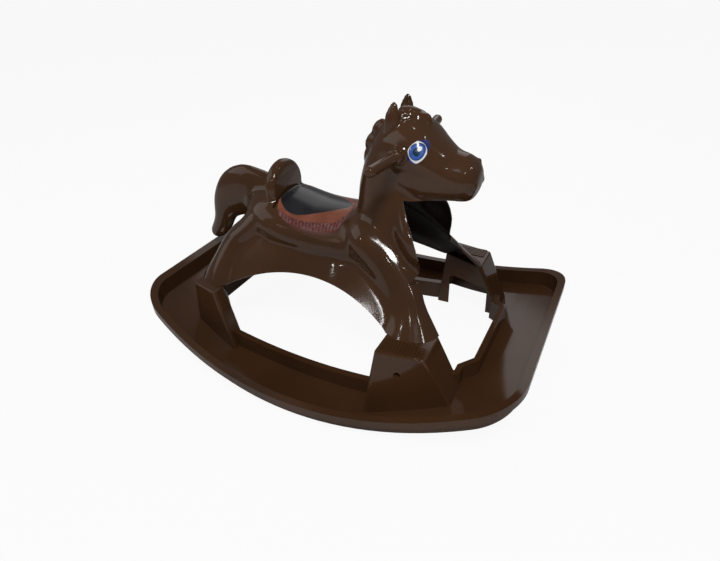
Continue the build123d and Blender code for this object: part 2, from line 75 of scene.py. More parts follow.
class PrintSettings(PropertyGroup):
    seat: FloatVectorProperty(
        name="Seat", description="Colour of the printed seat",
        subtype="COLOR", size=4, default=(0.012, 0.012, 0.014, 1.0), min=0.0, max=1.0,
    )
    band: FloatVectorProperty(
        name="Band", description="Colour of the printed border",
        subtype="COLOR", size=4, default=(0.26, 0.085, 0.05, 1.0), min=0.0, max=1.0,
    )
    fringe: FloatVectorProperty(
        name="Fringe", description="Colour of the printed fringe",
        subtype="COLOR", size=4, default=(0.12, 0.026, 0.022, 1.0), min=0.0, max=1.0,
    )
    iris: FloatVectorProperty(
        name="Iris", description="Colour of the eye",
        subtype="COLOR", size=4, default=(0.022, 0.075, 0.38, 1.0), min=0.0, max=1.0,
    )
    film: FloatProperty(
        name="Film", description="How far the printed film stands off the skin",
        default=0.0003, unit="LENGTH",
    )


class StageSettings(PropertyGroup):
    key_power: FloatProperty(name="Key light", description="Power of the main soft light", default=22.0)
    fill_power: FloatProperty(name="Fill light", description="Power of each wide soft light", default=7.0)
    lamp_power: FloatProperty(
        name="Ceiling lamps", description="Power of each small ceiling lamp", default=0.6
    )
    sky: FloatProperty(name="Sky", description="Strength of the light from all round", default=0.16)
    lens: FloatProperty(name="Lens", description="Focal length on a 36 mm sensor", default=26.7)


# ---------------------------------------------------------------- shader maths
class Value:
    """A socket that takes part in Python expressions."""

    def __init__(self, shade, socket):
        self.shade = shade
        self.socket = socket

    def __add__(self, other):
        return self.shade.math("ADD", self, other)

    def __radd__(self, other):
        return self.shade.math("ADD", other, self)

    def __sub__(self, other):
        return self.shade.math("SUBTRACT", self, other)

    def __rsub__(self, other):
        return self.shade.math("SUBTRACT", other, self)

    def __mul__(self, other):
        return self.shade.math("MULTIPLY", self, other)

    def __rmul__(self, other):
        return self.shade.math("MULTIPLY", other, self)

    def __truediv__(self, other):
        return self.shade.math("DIVIDE", self, other)

    def __pow__(self, other):
        return self.shade.math("POWER", self, other)

    def __abs__(self):
        return self.shade.math("ABSOLUTE", self)

    def above(self, edge, softness):
        """0 below the edge and 1 above it, with a soft step between."""
        sockets = {"Value": self, "From Min": edge - softness, "From Max": edge + softness}
        return self.shade.node("ShaderNodeMapRange", {"interpolation_type": "SMOOTHSTEP"}, sockets)


class Shade:
    """A material or a world and the nodes that make it."""

    def __init__(self, owner):
        self.owner = owner
        self.owner.use_nodes = True
        self.tree = self.owner.node_tree
        self.tree.nodes.clear()

    def node(self, kind, settings, sockets, output=0):
        """Adds a node, sets it up and gives one of its outputs, if it has any."""
        made = self.tree.nodes.new(kind)
        for name, value in settings.items():
            setattr(made, name, value)
        for name, value in sockets.items():
            if isinstance(value, Value):
                self.tree.links.new(value.socket, made.inputs[name])
            else:
                made.inputs[name].default_value = value
        return Value(self, made.outputs[output]) if made.outputs else None

    def math(self, operation, *values):
        return self.node("ShaderNodeMath", {"operation": operation}, dict(enumerate(values)))

    def mix(self, share, first, second):
        """A colour between two, by a share from 0 to 1."""
        return self.node("ShaderNodeMix", {"data_type": "RGBA"}, {0: share, 6: first, 7: second}, 2)

    def place(self):
        return self.node("ShaderNodeTexCoord", {}, {}, "Object")

    def along(self, point):
        """The x, y and z of a point."""
        return [self.node("ShaderNodeSeparateXYZ", {}, {0: point}, axis) for axis in "XYZ"]

    def noise(self, point, scale, detail):
        return self.node("ShaderNodeTexNoise", {}, {"Vector": point, "Scale": scale, "Detail": detail})

    def half_width(self, x, corners):
        """A smooth line through pairs of x and half width, in tenths of a metre."""
        first = corners[0][0]
        length = corners[-1][0] - first
        made = self.tree.nodes.new("ShaderNodeFloatCurve")
        line = made.mapping.curves[0]
        while len(line.points) > 2:
            line.points.remove(line.points[1])
        line.points[0].location = (0.0, corners[0][1] / 100.0)
        line.points[1].location = (1.0, corners[-1][1] / 100.0)
        for place, half in corners[1:-1]:
            line.points.new((place - first) / length, half / 100.0)
        made.mapping.update()
        self.tree.links.new(((x - first * MM) / (length * MM)).socket, made.inputs["Value"])
        return Value(self, made.outputs[0])

    def bump(self, height, strength, distance):
        sockets = {"Height": height, "Strength": strength, "Distance": distance}
        return self.node("ShaderNodeBump", {}, sockets)

    def surface(self, sockets):
        """Ends the tree with a principled surface and gives the material."""
        shader = self.node("ShaderNodeBsdfPrincipled", {}, sockets)
        self.node("ShaderNodeOutputMaterial", {}, {"Surface": shader})
        return self.owner


# ---------------------------------------------------------------- materials
def tint(colour, share):
    """A colour made darker or lighter, and opaque."""
    return [share * channel for channel in colour[:3]] + [1.0]


def moulded_plastic(colour):
    """Glossy brown plastic: slight flow marks, a fine ripple and dulled patches from use."""
    shade = Shade(bpy.data.materials.new("moulded_plastic"))
    point = shade.place()
    cloud = shade.noise(point, 6.0, 3.0)
    flow = shade.noise(point, 30.0, 2.0)
    speck = shade.noise(point, 900.0, 1.0)
    ripple = flow * 0.8 + speck * 0.2
    return shade.surface({
        "Base Color": shade.mix(cloud.above(0.5, 0.22), tint(colour, 0.82), tint(colour, 1.16)),
        "Roughness": 0.05 + 0.07 * cloud + 0.03 * flow,
        "IOR": 1.45,
        "Specular IOR Level": 0.45,
        "Normal": shade.bump(ripple, 0.10, 0.0004),
    })


def unpolished_inside(colour):
    """The same plastic on the inside of the moulding, dull, with painted shade: its colour is cut to a
    tenth to a fifth to stand for the shade inside the hollow shell.
    """
    shade = Shade(bpy.data.materials.new("unpolished_inside"))
    cloud = shade.noise(shade.place(), 12.0, 3.0)
    return shade.surface({
        # Painted shade: the plastic's colour made far darker for the shade that falls inside the shell.
        "Base Color": shade.mix(cloud, tint(colour, 0.10), tint(colour, 0.22)),
        "Roughness": 0.34 + 0.14 * cloud,
        "Specular IOR Level": 0.12,
        "Normal": shade.bump(cloud, 0.1, 0.0005),
    })


def screw_steel():
    shade = Shade(bpy.data.materials.new("screw_steel"))
    scuff = shade.noise(shade.place(), 1400.0, 3.0)
    return shade.surface({
        "Base Color": shade.mix(scuff, (0.30, 0.29, 0.28, 1.0), (0.52, 0.51, 0.49, 1.0)),
        "Metallic": 1.0,
        "Roughness": 0.28 + 0.18 * scuff,
        "Normal": shade.bump(scuff, 0.2, 0.0001),
    })


# The printed eye leans back: the x and z of its middle, its half sizes and its lean.
EYE_MIDDLE = (147.0, 424.5)
EYE_HALF = (14.0, 17.5)
EYE_LEAN = 35.0


def eye_print(iris):
    """White ball, blue iris with a darker ring, pupil, glint and an outline, printed flat."""
    shade = Shade(bpy.data.materials.new("eye_print"))
    x, _, z = shade.along(shade.place())
    forward = x - EYE_MIDDLE[0] * MM
    higher = z - EYE_MIDDLE[1] * MM
    lean = radians(EYE_LEAN)
    across = (cos(lean) * forward + sin(lean) * higher) / (EYE_HALF[0] * MM)
    up = (cos(lean) * higher - sin(lean) * forward) / (EYE_HALF[1] * MM)

    def spot(middle_x, middle_z, half_x, half_z):
        """1 inside an oval and 0 outside it, in shares of the eye's own half sizes."""
        off = ((across - middle_x) / half_x) ** 2.0 + ((up - middle_z) / half_z) ** 2.0
        return 1.0 - off.above(1.0, 0.06)

    white = (0.86, 0.88, 0.92, 1.0)
    navy = (0.010, 0.022, 0.15, 1.0)
    pale = (0.06, 0.16, 0.52, 1.0)
    fleck = shade.noise(shade.place(), 1500.0, 2.0)
    colour = shade.mix(spot(0.0, 0.0, 0.95, 0.96), navy, white)
    colour = shade.mix(spot(0.04, 0.06, 0.88, 0.70), colour, tint(iris, 0.45))
    colour = shade.mix(spot(0.02, 0.06, 0.80, 0.60), colour, shade.mix(fleck, iris, pale))
    colour = shade.mix(spot(0.0, 0.06, 0.40, 0.34), colour, (0.003, 0.035, 0.075, 1.0))
    colour = shade.mix(spot(0.44, 0.14, 0.24, 0.18), colour, (0.95, 0.97, 1.0, 1.0))
    colour = shade.mix(spot(-0.40, -0.10, 0.12, 0.10), colour, pale)
    return shade.surface({
        "Base Color": colour,
        "Roughness": 0.22 + 0.06 * fleck,
        "Coat Weight": 0.5,
        "Coat Roughness": 0.05,
    })


# The printed seat, its band and its fringe: pairs of x and half width, in millimetres.
SEAT_EDGE = [
    (-134, 36), (-125, 47), (-107, 57), (-92, 58), (-72, 52), (-57, 44), (-38, 34), (-22, 23),
    (-6, 11), (4, 2), (16, 0),
]
BAND_EDGE = [
    (-134, 54), (-122, 62), (-97, 64), (-59, 63), (-39, 60), (-17, 57), (-3, 49), (3, 38), (6, 24),
    (9, 8), (16, 0),
]
FRINGE_EDGE = [
    (-134, 66), (-122, 75), (-88, 77), (-60, 78), (-27, 76), (-6, 72), (3, 67), (7, 54), (10, 38),
    (13, 18), (16, 6),
]


def saddle_print(colours, plastic):
    """A black seat, a copper band beside it and a fringe of plain tassels, on a clear film."""
    shade = Shade(bpy.data.materials.new("saddle_print"))
    point = shade.place()
    x, y, z = shade.along(point)
    wobble = shade.noise(point, 300.0, 3.0)
    cloud = shade.noise(point, 40.0, 3.0)
    aside = abs(y) * 10.0 + 0.012 * wobble
    beyond_seat = (aside - shade.half_width(x, SEAT_EDGE)).above(0.0, 0.008)
    beyond_band = (aside - shade.half_width(x, BAND_EDGE)).above(0.0, 0.010)
    tassels = shade.math("SINE", (x + 0.4 * z) * 900.0 + 14.0 * wobble)
    beyond_fringe = (aside + 0.03 * tassels - shade.half_width(x, FRINGE_EDGE)).above(0.0, 0.012)
    pale = [0.16 + 0.6 * channel for channel in colours.fringe[:3]] + [1.0]
    tassel = shade.mix(tassels.above(0.3, 0.5) * cloud, colours.fringe, pale)
    band = shade.mix(cloud.above(0.5, 0.2), colours.band, tint(colours.band, 0.7))
    seat = shade.mix(cloud, colours.seat, tint(colours.seat, 1.9))
    colour = shade.mix(beyond_seat, seat, band)
    colour = shade.mix(beyond_band, colour, tassel)
    colour = shade.mix(beyond_fringe, colour, plastic)
    return shade.surface({
        "Base Color": colour,
        "Roughness": 0.16 + 0.10 * cloud,
        "IOR": 1.45,
        "Specular IOR Level": 0.42,
        "Normal": shade.bump(wobble, 0.1, 0.0002),
    })


def finished(name):
    """A material that an earlier operator has made."""
    return bpy.data.materials[name]


def dress(piece, material):
    piece.data.materials.clear()
    piece.data.materials.append(material)


# ---------------------------------------------------------------- modelling by operators
def put_down():
    """Object mode, with nothing selected."""
    if bpy.context.mode != "OBJECT":
        bpy.ops.object.mode_set(mode="OBJECT")
    bpy.ops.object.select_all(action="DESELECT")


def pick_up(*pieces):
    """Selects the pieces and makes the first one active."""
    put_down()
    for piece in pieces:
        piece.select_set(True)
    bpy.context.view_layer.objects.active = pieces[0]


def throw_away(*pieces):
    pick_up(*pieces)
    bpy.ops.object.delete()


def joined(name, pieces):
    pick_up(*pieces)
    bpy.ops.object.join()
    pieces[0].name = name
    return pieces[0]


def copied(piece, name):
    pick_up(piece)
    bpy.ops.object.duplicate()
    copy = bpy.context.object
    copy.name = name
    return copy


def modified(piece, kind, **settings):
    """Adds a modifier, sets it up and applies it."""
    pick_up(piece)
    made = piece.modifiers.new(kind, kind)
    for name, value in settings.items():
        setattr(made, name, value)
    bpy.ops.object.modifier_apply(modifier=made.name)


def start_ring(name, around):
    """A filled unit circle, open in edit mode with all of it selected."""
    put_down()
    bpy.ops.mesh.primitive_circle_add(
        vertices=around, radius=1.0, fill_type="NGON", enter_editmode=True, location=(0, 0, 0)
    )
    piece = bpy.context.object
    piece.name = name
    bpy.ops.mesh.select_all(action="SELECT")
    return piece


def close_form():
    bpy.ops.mesh.select_all(action="SELECT")
    bpy.ops.mesh.normals_make_consistent(inside=False)
    bpy.ops.object.mode_set(mode="OBJECT")


def eased(rings, steps):
    """Rings with more between them, on a smooth curve through them all."""
    eased_rings = []
    last = len(rings) - 1
    for index in range(last):
        a, b, c, d = (rings[min(max(index + off, 0), last)] for off in (-1, 0, 1, 2))
        for step in range(steps):
            t = step / steps
            eased_rings.append([
                q + 0.5 * t * (r - p + t * (2 * p - 5 * q + 4 * r - s + t * (3 * (q - r) + s - p)))
                for p, q, r, s in zip(a, b, c, d)
            ])
    return eased_rings + [list(rings[last])]


def ring_form(name, rings, around=28, steps=3):
    """A closed form through leaning rings. A ring is the x, y and z of its middle, its half
    size along the lean, its half size across and its lean in degrees. At no lean a ring lies
    flat, at 90 degrees it stands up and faces forward."""
    piece = start_ring(name, around)
    before = None
    for x, y, z, half, breadth, lean in eased(rings, steps):
        middle = Vector((x, y, z)) * MM
        if before is None:
            bpy.ops.transform.resize(value=(half * MM, breadth * MM, 1.0), center_override=(0, 0, 0))
            bpy.ops.transform.rotate(
                value=radians(lean), orient_axis="Y", center_override=(0, 0, 0)
            )
            bpy.ops.transform.translate(value=middle)
        else:
            last_middle, last_half, last_breadth, last_lean = before
            bpy.ops.mesh.extrude_region_move(
                TRANSFORM_OT_translate={"value": middle - last_middle}
            )
            grow = half / last_half
            widen = breadth / last_breadth
            bpy.ops.transform.resize(value=(grow, widen, grow), center_override=middle)
            bpy.ops.transform.rotate(
                value=radians(lean - last_lean), orient_axis="Y", center_override=middle
            )
        before = (middle, half, breadth, lean)
    close_form()
    return piece


def outline_form(name, corners, axis, start, end):
    """A straight block: an outline in millimetres across an axis, from a start to an end.
    The outline is given as y, z across X, as x, z across Y and as x, y across Z."""
    piece = start_ring(name, len(corners))
    bpy.ops.object.mode_set(mode="OBJECT")
    others = [index for index in range(3) if index != axis]
    for vertex, corner in zip(piece.data.vertices, corners):
        place = [0.0, 0.0, 0.0]
        place[axis] = start * MM
        place[others[0]] = corner[0] * MM
        place[others[1]] = corner[1] * MM
        vertex.co = place
    bpy.ops.object.mode_set(mode="EDIT")
    bpy.ops.mesh.select_all(action="SELECT")
    step = [0.0, 0.0, 0.0]
    step[axis] = (end - start) * MM
    bpy.ops.mesh.extrude_region_move(TRANSFORM_OT_translate={"value": step})
    close_form()
    return piece


def block(name, low, high):
    """A cutter with square corners between two places in millimetres."""
    put_down()
    middle = (Vector(low) + Vector(high)) * MM / 2
    bpy.ops.mesh.primitive_cube_add(size=1.0, enter_editmode=True, location=(0, 0, 0))
    bpy.ops.transform.resize(value=(Vector(high) - Vector(low)) * MM, center_override=(0, 0, 0))
    bpy.ops.transform.translate(value=middle)
    bpy.ops.object.mode_set(mode="OBJECT")
    bpy.context.object.name = name
    return bpy.context.object


def cut_out(piece, cutter, operation="DIFFERENCE", face="cut_face"):
    """Cuts with a piece that is then thrown away. The cut faces keep the cutter's material."""
    dress(cutter, finished(face))
    modified(
        piece, "BOOLEAN", object=cutter, operation=operation, solver="EXACT", material_mode="TRANSFER"
    )
    throw_away(cutter)


def open_cuts(piece):
    """Takes away the faces that cutters left, so that the skin stays as an open sheet."""
    pick_up(piece)
    cut_slot = piece.data.materials.find("cut_face")
    for face in piece.data.polygons:
        face.select = face.material_index == cut_slot
    bpy.ops.object.mode_set(mode="EDIT")
    bpy.ops.mesh.select_mode(type="FACE")
    bpy.ops.mesh.delete(type="FACE")
    bpy.ops.mesh.select_all(action="SELECT")
    bpy.ops.mesh.remove_doubles(threshold=0.0002)
    bpy.ops.mesh.normals_make_consistent(inside=False)
    bpy.ops.object.mode_set(mode="OBJECT")


# ---------------------------------------------------------------- the horse's forms
# Rings: x, y, z, half size along the lean, half size across, lean in degrees.
BARREL = [
    (-234, 0, 258, 8, 14, 90), (-226, 0, 258, 22, 32, 90), (-212, 0, 258, 34, 46, 90),
    (-197, 0, 256, 42, 60, 90), (-180, 0, 253, 47, 74, 90), (-158, 0, 249, 51, 84, 90),
    (-130, 0, 243, 54, 88, 90), (-100, 0, 237, 54, 88, 90), (-68, 0, 233, 53, 88, 90),
    (-34, 0, 232, 53, 88, 90), (0, 0, 233, 53, 87, 90), (40, 0, 235, 53, 84, 90),
    (80, 0, 237, 53, 81, 90), (120, 0, 240, 50, 79, 90), (156, 0, 242, 48, 78, 90),
    (190, 0, 244, 44, 76, 90),
]
NECK = [
    (99, 0, 226, 89, 74, 0), (101, 0, 253, 88, 76, 0), (101, 0, 277, 85, 69, 0),
    (98, 0, 300, 80, 61, 0), (94, 0, 320, 74, 54, 0), (88, 0, 345, 65, 48, 0),
    (90, 0, 385, 56, 45, 0), (96, 0, 415, 46, 43, 0), (98, 0, 440, 36, 36, 0),
    (98, 0, 456, 22, 22, 0),
]
THROAT = [
    (163, 0, 206, 46, 70, 0), (167, 0, 224, 56, 78, 0), (167, 0, 238, 60, 81, 0),
    (165, 0, 253, 62, 88, 0), (159, 0, 277, 64, 88, 0), (154, 0, 287, 64, 85, 0),
    (146, 0, 300, 60, 76, 0), (137, 0, 314, 54, 66, 0), (128, 0, 330, 48, 57, 0),
    (124, 0, 345, 42, 51, 0), (122, 0, 366, 34, 45, 0),
]
HEAD = [
    (50, 0, 408, 16, 18, 90), (60, 0, 405, 26, 31, 90), (78, 0, 406, 44, 42, 90),
    (100, 0, 409, 58, 50, 90), (122, 0, 408, 58, 56, 90), (145, 0, 408, 52, 60, 90),
    (160, 0, 402, 42, 57, 90), (176, 0, 392, 37, 51, 90), (190, 0, 384, 34, 46, 90),
    (202, 0, 380, 34, 42, 90), (216, 0, 378, 31, 38, 90), (226, 0, 378, 25, 33, 90),
    (233, 0, 378, 16, 25, 90), (237, 0, 378, 5, 10, 90),
]
JAW = [
    (100, 0, 378, 42, 44, 90), (120, 0, 375, 46, 51, 90), (148, 0, 373, 46, 56, 90),
    (176, 0, 372, 45, 49, 90), (194, 0, 372, 44, 44, 90), (210, 0, 372, 42, 40, 90),
    (222, 0, 372, 37, 36, 90), (231, 0, 373, 27, 29, 90), (237, 0, 375, 14, 16, 90),
]
FRONT_LEG = [
    (14, 38, 280, 12, 14, 60), (28, 44, 270, 28, 28, 58), (47, 52, 259, 37, 37, 56),
    (72, 58, 242, 40, 36, 54), (97, 66, 224, 42, 34, 50), (119, 76, 203, 42, 33, 44),
    (139, 88, 181, 42, 34, 32), (155, 102, 160, 43, 37, 15), (168, 118, 140, 54, 40, 0),
    (183, 131, 118, 56, 46, 0),
]
HIND_LEG = [
    (-240, 112, 118, 60, 54, 0), (-236, 104, 140, 50, 50, 0), (-236, 97, 159, 40, 45, 0),
    (-233, 90, 177, 32, 39, 0), (-222, 74, 207, 30, 32, 0), (-206, 64, 226, 34, 32, 0),
    (-186, 52, 244, 34, 34, 0), (-176, 42, 262, 30, 34, 0),
]
# The hollow rump between the hind legs, above the gap.
RUMP = [
    (-208, 0, 176, 52, 118, 0), (-208, 0, 192, 48, 104, 0), (-206, 0, 207, 43, 92, 0),
    (-200, 0, 225, 35, 78, 0), (-190, 0, 244, 24, 62, 0),
]
CANTLE = [
    (-164, 0, 304, 36, 38, 90), (-161, 0, 304, 45, 46, 90), (-156, 0, 305, 49, 50, 90),
    (-144, 0, 305, 49, 50, 90), (-139, 0, 304, 46, 47, 90), (-137, 0, 304, 38, 40, 90),
]
CANTLE_FOOT = [
    (-152, 0, 258, 26, 72, 0), (-151, 0, 276, 18, 64, 0), (-150, 0, 290, 14, 56, 0),
    (-150, 0, 304, 11, 50, 0), (-150, 0, 314, 9, 46, 0),
]
CANTLE_GROOVE = [
    (-60, 262), (-44, 276), (-22, 286), (0, 289), (22, 286), (44, 276), (60, 262), (60, 330), (-60, 330),
]
TAIL = [
    (-163, 0, 287, 28, 22, 62), (-209, 0, 282, 46, 23, 84), (-249, 0, 277, 55, 22, 93),
    (-282, 0, 262, 49, 21, 110), (-306, 0, 234, 35, 20, 135), (-316, 0, 205, 25, 18, 163),
    (-328, 0, 181, 24, 16, 168), (-344, 0, 160, 21, 13, 171), (-350, 0, 147, 9, 8, 176),
]
EAR = [
    (93, 26, 426, 11, 10, 0), (93, 28, 444, 13, 9, 0), (94, 29, 458, 13, 8, 2),
    (95, 29, 470, 12, 7, 4), (96, 28, 480, 9, 5, 6), (97, 27, 486, 6, 4, 8),
    (97, 27, 490, 3, 2, 8),
]
# Locks of the mane down the neck and of the forelock: x, y, z, half length, half width, lean.
LOCKS = [
    (58, 0, 440, 17, 9, 50), (43, 0, 415, 17, 9, 62), (37, 0, 390, 17, 8, 76),
    (112, 1, 469, 20, 10, -2), (104, 12, 466, 14, 8, 16), (140, 0, 461, 11, 9, -36),
    (128, 7, 465, 12, 8, -18),
]
# Raised rims of the nostrils, in the same terms.
NOSTRILS = [(232, 19, 368, 6, 6, 70), (226, 17, 398, 5, 5, 40)]
SKIRT_BACK = [(-81, 224), (81, 224), (163, 116), (-163, 116)]
SKIRT_FRONT = [(-78, 224), (78, 224), (168, 116), (-168, 116)]
FRONT_GAP = [
    (-118, 60), (118, 60), (118, 142), (100, 184), (86, 204), (70, 220), (44, 236), (-44, 236),
    (-70, 220), (-86, 204), (-100, 184), (-118, 142),
]
REAR_GAP = [
    (-104, 60), (104, 60), (104, 140), (84, 174), (72, 190), (52, 197), (-52, 197), (-72, 190),
    (-84, 174), (-104, 140),
]
THROAT_OPENING = [
    (156, 212), (166, 224), (167, 240), (166, 253), (161, 272), (155, 288), (146, 302), (136, 315),
    (128, 328), (123, 340), (150, 341), (176, 343), (190, 345), (204, 345), (222, 343), (230, 344),
    (300, 344), (300, 212),
]
ARCH_MIDDLE = (-37.5, -168.0)
ARCH_RADIUS = 354.0
FOOT_HEIGHT = 140.0
# Where the straight blocks and the cutters start and end, in millimetres along their own axis.
SKIRT_BACK_SPAN = (-215, 9)
SKIRT_FRONT_SPAN = (0, 135)
GROOVE_SPAN = (-138.5, -133.5)
FRONT_GAP_SPAN = (90, 400)
REAR_GAP_SPAN = (-290, -120)
THROAT_SPAN = (-300, 300)
SADDLE_SPAN = (242, 304)
EYE_SPANS = (("left", 20, 90), ("right", -90, -20))
# Faces that meet at less than this many degrees are shaded as one surface.
SMOOTH_ANGLE = 40.0


def lock(place):
    """One rounded lock of moulded hair."""
    x, y, z, length, width, lean = place
    rings = [
        (x + share * length, y, z, width * size, width * size, 90)
        for share, size in ((-1, 0.25), (-0.8, 0.7), (-0.3, 1), (0.3, 1), (0.8, 0.7), (1, 0.25))
    ]
    piece = ring_form("lock", rings, around=16, steps=1)
    pick_up(piece)
    bpy.ops.object.mode_set(mode="EDIT")
    bpy.ops.mesh.select_all(action="SELECT")
    bpy.ops.transform.rotate(
        value=radians(lean), orient_axis="Y", center_override=Vector((x, y, z)) * MM
    )
    bpy.ops.object.mode_set(mode="OBJECT")
    return piece


def horse_form(settings):
    """The whole outside of the horse as one closed skin."""
    big = [
        ring_form("barrel", BARREL),
        ring_form("neck", NECK),
        ring_form("throat", THROAT),
        ring_form("head", HEAD),
        ring_form("jaw", JAW),
        ring_form("front_leg", FRONT_LEG),
        ring_form("hind_leg", HIND_LEG),
        ring_form("rump", RUMP),
        ring_form("tail", TAIL),
        outline_form("skirt_back", SKIRT_BACK, 0, *SKIRT_BACK_SPAN),
        outline_form("skirt_front", SKIRT_FRONT, 0, *SKIRT_FRONT_SPAN),
    ]
    body = joined("body", big)
    modified(body, "MIRROR", use_axis=(False, True, False), use_mirror_merge=False)
    modified(body, "REMESH", mode="VOXEL", voxel_size=settings.melt)
    modified(body, "SMOOTH", factor=0.5, iterations=settings.softness)
    small = [
        ring_form("cantle", CANTLE, around=48, steps=2),
        ring_form("cantle_foot", CANTLE_FOOT, around=48),
        ring_form("ear", EAR, around=16),
    ]
    small += [lock(place) for place in LOCKS + NOSTRILS]
    detail = joined("detail", small)
    modified(detail, "MIRROR", use_axis=(False, True, False), use_mirror_merge=False)
    body = joined("body", [body, detail])
    modified(body, "REMESH", mode="VOXEL", voxel_size=settings.grain)
    modified(body, "SMOOTH", factor=0.5, iterations=3)
    return body


class HORSE_OT_shell(Operator):
    """Melts the horse's forms together and opens the shell below, in front and under the jaw"""
    bl_idname = "rocking_horse.shell"
    bl_label = "Horse shell"

    def execute(self, context):
        settings = context.scene.horse_settings
        plastic = moulded_plastic(settings.plastic)
        Shade(bpy.data.materials.new("cut_face")).surface({})
        skin = horse_form(settings)
        dress(skin, plastic)
        uncut = copied(skin, "uncut_skin")
        uncut.hide_render = True
        groove = outline_form("cantle_groove", CANTLE_GROOVE, 0, *GROOVE_SPAN)
        cut_out(skin, groove, face="moulded_plastic")
        cut_out(skin, outline_form("front_gap", FRONT_GAP, 0, *FRONT_GAP_SPAN))
        cut_out(skin, outline_form("rear_gap", REAR_GAP, 0, *REAR_GAP_SPAN))
        cut_out(skin, outline_form("throat_opening", THROAT_OPENING, 1, *THROAT_SPAN))
        put_down()
        bpy.ops.mesh.primitive_cylinder_add(
            vertices=192, radius=ARCH_RADIUS * MM, depth=0.8, rotation=(radians(90), 0, 0),
            location=(ARCH_MIDDLE[0] * MM, 0, ARCH_MIDDLE[1] * MM),
        )
        bpy.ops.object.transform_apply(location=True, rotation=True, scale=True)
        cut_out(skin, bpy.context.object)
        cut_out(skin, block("below_feet", (-420, -300, -50), (420, 300, FOOT_HEIGHT)))
        open_cuts(skin)
        dress(skin, plastic)
        # The inside faces get a dull copy of the plastic with painted shade in its colour.
        skin.data.materials.append(unpolished_inside(settings.plastic))
        modified(
            skin, "SOLIDIFY", thickness=settings.wall, offset=-1.0, use_rim=True, material_offset=1
        )
        skin.name = "horse_body"
        pick_up(skin)
        bpy.ops.object.shade_smooth_by_angle(angle=radians(SMOOTH_ANGLE))
        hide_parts("horse_shell")
        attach(skin, "root")
        return {"FINISHED"}


def printed_film(name, cutter, material, stand_off):
    """A thin film cut from the uncut skin by a cutter and lifted a little off the shell."""
    film = copied(bpy.data.objects["uncut_skin"], name)
    film.hide_render = False
    cut_out(film, cutter, "INTERSECT")
    open_cuts(film)
    pick_up(film)
    bpy.ops.object.mode_set(mode="EDIT")
    bpy.ops.mesh.select_all(action="SELECT")
    bpy.ops.transform.shrink_fatten(value=stand_off)
    bpy.ops.object.mode_set(mode="OBJECT")
    dress(film, material)
    bpy.ops.object.shade_smooth()
    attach(film, "root")
    return film


class HORSE_OT_eyes(Operator):
    """Cuts the two printed eyes from the skin of the head"""
    bl_idname = "rocking_horse.eyes"
    bl_label = "Eyes"

    def execute(self, context):
        colours = context.scene.print_settings
        material = eye_print(colours.iris)
        for side, y_from, y_to in EYE_SPANS:
            put_down()
            bpy.ops.mesh.primitive_cylinder_add(
                vertices=64, radius=1.0, depth=(y_to - y_from) * MM, rotation=(radians(90), 0, 0),
                location=(EYE_MIDDLE[0] * MM, (y_from + y_to) / 2 * MM, EYE_MIDDLE[1] * MM),
                scale=(EYE_HALF[0] * MM, EYE_HALF[1] * MM, 1.0),
            )
            bpy.ops.object.transform_apply(location=True, rotation=True, scale=True)
            cutter = context.object
            bpy.ops.transform.rotate(
                value=radians(-EYE_LEAN), orient_axis="Y",
                center_override=(EYE_MIDDLE[0] * MM, 0, EYE_MIDDLE[1] * MM),
            )
            bpy.ops.object.transform_apply(location=True, rotation=True, scale=True)
            film = printed_film("eye_" + side, cutter, material, colours.film)
            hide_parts("eye_decal_" + side)
        return {"FINISHED"}


SADDLE_EDGE = [(-134, 44), (-128, 58), (-120, 68), (-80, 79), (-20, 83), (20, 80), (36, 73), (44, 62)]


class HORSE_OT_saddle(Operator):
    """Cuts the printed saddle from the skin of the back"""
    bl_idname = "rocking_horse.saddle"
    bl_label = "Printed saddle"

    def execute(self, context):
        colours = context.scene.print_settings
        material = saddle_print(colours, context.scene.horse_settings.plastic)
        corners = SADDLE_EDGE + [(x, -y) for x, y in reversed(SADDLE_EDGE)]
        cutter = outline_form("saddle_outline", corners, 2, *SADDLE_SPAN)
        film = printed_film("saddle_film", cutter, material, colours.film)
        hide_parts("saddle_decal")
        return {"FINISHED"}


class HORSE_OT_tray(Operator):
    """Gives the rocker tray and the grips their moulded plastic"""
    bl_idname = "rocking_horse.tray"
    bl_label = "Tray and grips"

    def execute(self, context):
        for name in ("rocker_tray", "handle_left", "handle_right"):
            dress_node(name, finished("moulded_plastic"))
        return {"FINISHED"}


class HORSE_OT_fasteners(Operator):
    """Gives the screws and washers their steel"""
    bl_idname = "rocking_horse.fasteners"
    bl_label = "Screws and washers"

    def execute(self, context):
        steel = screw_steel()
        for name in ("grip_screws", "grip_washers", "foot_screws"):
            dress_node(name, steel)
        return {"FINISHED"}


def dress_node(name, material):
    """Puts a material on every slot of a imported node."""
    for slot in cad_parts[name].material_slots:
        slot.material = material


# ---------------------------------------------------------------- stage
CAMERA_PLACE = (0.4412, -0.7916, 0.7082)
CAMERA_TARGET = (0.0256, -0.0285, 0.1443)
CAMERA_ROLL = -2.37
# How much of the floor that the camera sees glows white and takes no shadow.
FLOOR_WHITENESS = 0.93
LIT_POINT = (0, 0, 0.2)
KEY_PLACE = (0.7, -1.2, 2.0)
FILL_PLACES = {"fill": (-1.8, -0.8, 1.5), "back_fill": (-0.6, 2.0, 1.7)}
CEILING_LAMPS = [
    (-0.15, 0.1, 2.2), (1.3, 0.45, 1.7), (1.2, -0.9, 1.55), (0.3, -1.6, 1.5), (-0.6, -1.4, 1.2),
]


def lamp(name, place, power, size):
    """A square light that points at the horse."""
    put_down()
    bpy.ops.object.light_add(type="AREA", location=place)
    made = bpy.context.object
    made.name = name
    made.rotation_mode = "QUATERNION"
    made.rotation_quaternion = (Vector(LIT_POINT) - Vector(place)).to_track_quat("-Z", "Y")
    made.data.energy = power
    made.data.size = size


